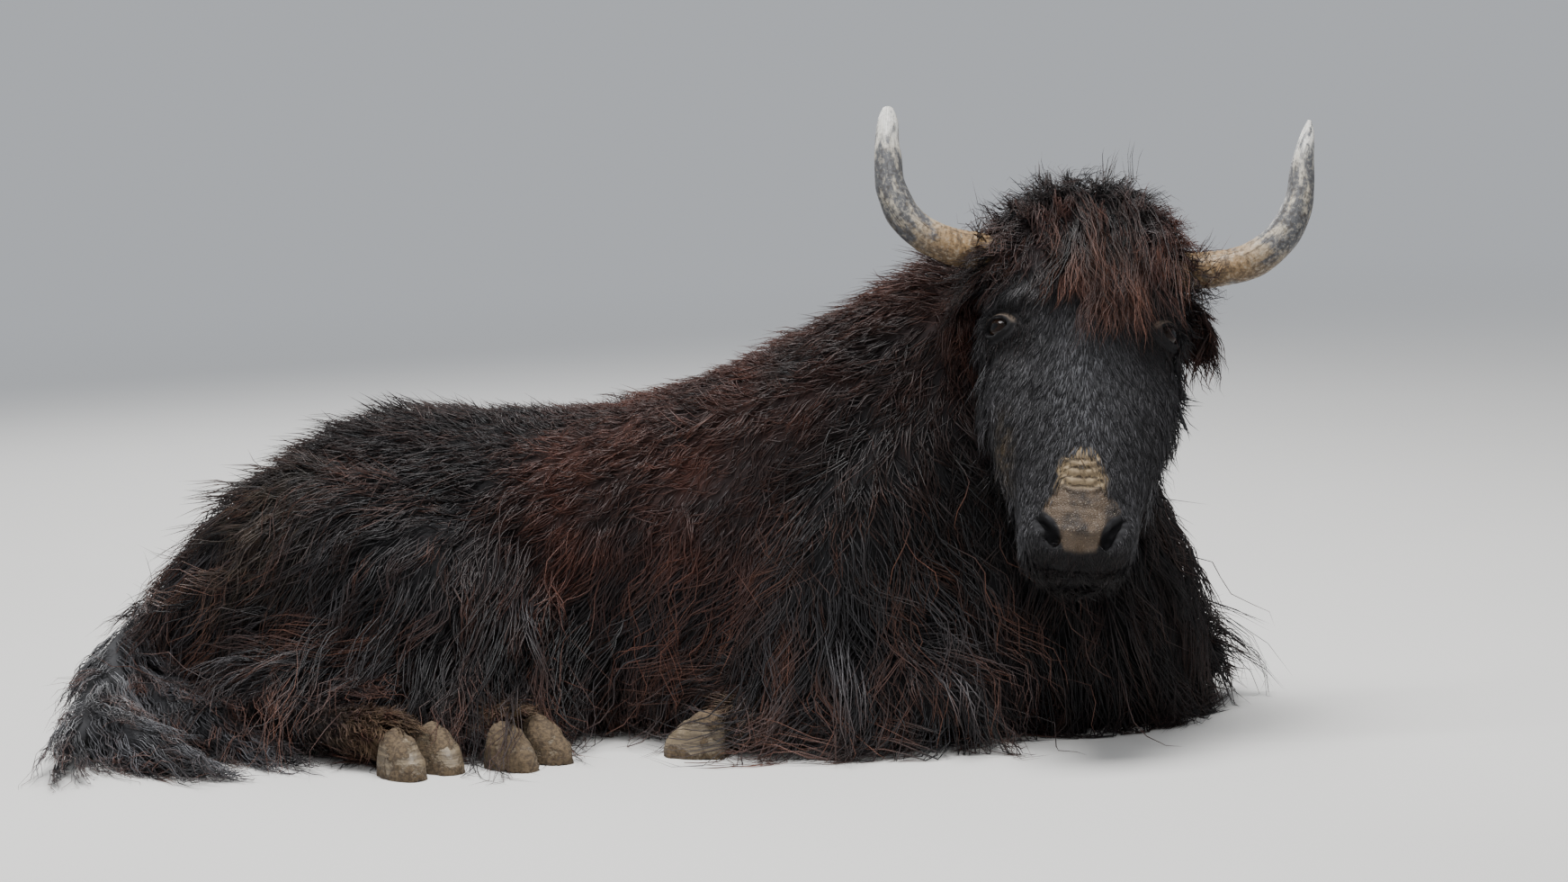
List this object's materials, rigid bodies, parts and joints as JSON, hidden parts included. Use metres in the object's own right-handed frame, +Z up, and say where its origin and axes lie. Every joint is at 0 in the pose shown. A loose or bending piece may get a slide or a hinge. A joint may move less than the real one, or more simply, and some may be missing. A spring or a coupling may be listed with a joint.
{
  "type": "yak",
  "caption": "Life-size still model of a shaggy dark yak lying on its chest, legs folded, with its horned head raised and turned to one side.",
  "frame": {"origin": "on the floor, under the middle of the bounding box", "axes": "+X along the back from the rump to the withers, +Y to the animal's left, +Z up"},
  "size_m": [1.7928, 1.0898, 0.8285],
  "materials": {
    "body_coat": "long shaggy brown-black hair, reddish over the back, rusty at the ends of the locks",
    "face_coat": "short black hair with a grey sheen, auburn forelock, bare grey-brown nose pad",
    "tail_hair": "coarse wavy black and grey hair with brown ends",
    "horn": "weathered grey-tan horn, ringed and streaked, satin",
    "hoof_horn": "dull mud-pale hoof horn",
    "eye": "dark brown, wet and glossy"
  },
  "bodies": {
    "root": {"claw_fore_left_inner": "hoof_horn", "claw_fore_left_outer": "hoof_horn", "claw_fore_right_inner": "hoof_horn", "claw_fore_right_outer": "hoof_horn", "claw_hind_left_inner": "hoof_horn", "claw_hind_left_outer": "hoof_horn", "claw_hind_right_inner": "hoof_horn", "claw_hind_right_outer": "hoof_horn", "ear_left": "face_coat", "ear_right": "face_coat", "eye_left": "eye", "eye_right": "eye", "foreleg_left": "body_coat", "foreleg_right": "body_coat", "head": "face_coat", "hindfoot_left": "body_coat", "hindleg_left": "body_coat", "hindleg_right": "body_coat", "horn_left": "horn", "horn_right": "horn", "neck": "body_coat", "tail": "tail_hair", "torso": "body_coat"}
  },
  "joints": []
}
